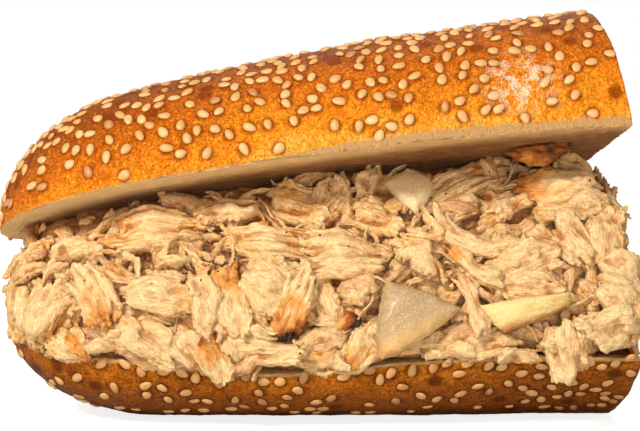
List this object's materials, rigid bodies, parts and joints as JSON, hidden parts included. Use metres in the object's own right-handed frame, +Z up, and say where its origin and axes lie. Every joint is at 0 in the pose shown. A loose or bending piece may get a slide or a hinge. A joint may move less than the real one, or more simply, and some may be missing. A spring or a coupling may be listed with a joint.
{
  "type": "submarine sandwich",
  "caption": "Half of a seeded submarine roll, cut open along its length and filled with a heap of pulled chicken and pieces of onion, with one rounded end and one cut end.",
  "frame": {"origin": "middle of the flat spot under the bottom half that the sandwich rests on", "axes": "+X along the roll towards its cut end, +Y away from the open side, +Z up"},
  "size_m": [0.1574, 0.0788, 0.1],
  "materials": {
    "bread": "baked golden brown crust with pale seeds and a pale crumb",
    "chicken": "moist torn meat, cream with golden and seared spots",
    "onion": "wet translucent cooked onion"
  },
  "bodies": {
    "root": {"bun_bottom": "bread", "bun_top": "bread", "chicken": "chicken", "onion_large": "onion", "onion_upper": "onion", "onion_slice": "onion"}
  },
  "joints": []
}
